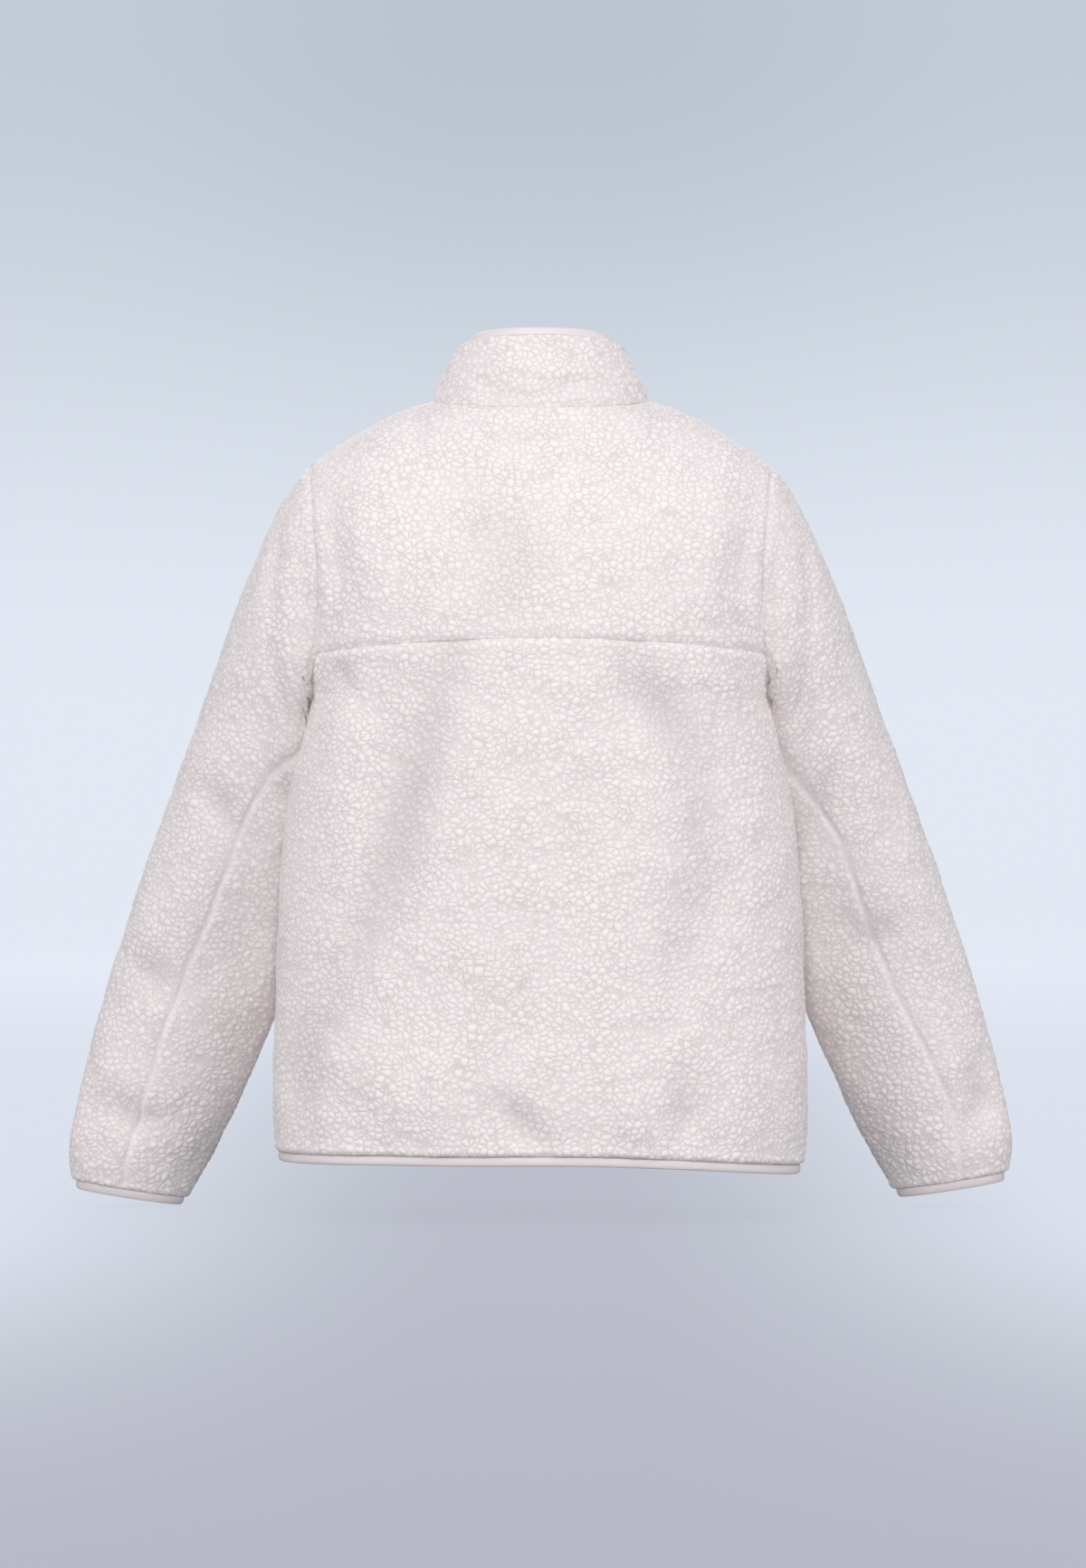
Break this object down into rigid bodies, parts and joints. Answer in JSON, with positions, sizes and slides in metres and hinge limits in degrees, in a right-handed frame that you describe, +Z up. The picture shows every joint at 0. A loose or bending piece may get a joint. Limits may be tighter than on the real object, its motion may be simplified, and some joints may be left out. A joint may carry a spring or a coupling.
{
  "type": "fleece zip-up jacket",
  "caption": "Curly-pile fleece jacket with a stand-up collar, full-length zip, back yoke and elastic binding at collar, cuffs and hem, filled out as if worn with nobody in it",
  "frame": {"origin": "middle of the neck, level with the two points where the collar meets the shoulder seams", "axes": "+X is the wearer's left, -Y the front with the zip, +Z up"},
  "size_m": [0.865, 0.2647, 0.796],
  "materials": {
    "fleece": "off-white curly pile",
    "elastic_binding": "smooth woven elastic",
    "zip_tape": "woven tape",
    "zip_chain": "moulded teeth",
    "zip_metal": "satin metal"
  },
  "bodies": {
    "jacket": {"back_lower": "fleece", "back_yoke": "fleece", "front_left": "fleece", "front_right": "fleece", "sleeve_left": "fleece", "sleeve_right": "fleece", "collar": "fleece", "collar_binding": "elastic_binding", "hem_binding": "elastic_binding", "cuff_binding_left": "elastic_binding", "cuff_binding_right": "elastic_binding", "zip_tape_left": "zip_tape", "zip_tape_right": "zip_tape", "zip_chain": "zip_chain", "zip_box": "zip_metal", "zip_slider": "zip_metal"},
    "pull": {"zip_pull": "zip_metal"}
  },
  "joints": [
    {"name": "pull_swing", "type": "hinge", "parent": "jacket", "child": "pull", "pos_m": [0, -0.07944, 0.00233], "axis": [-1, 0, 0], "range_deg": [0, 170]}
  ]
}
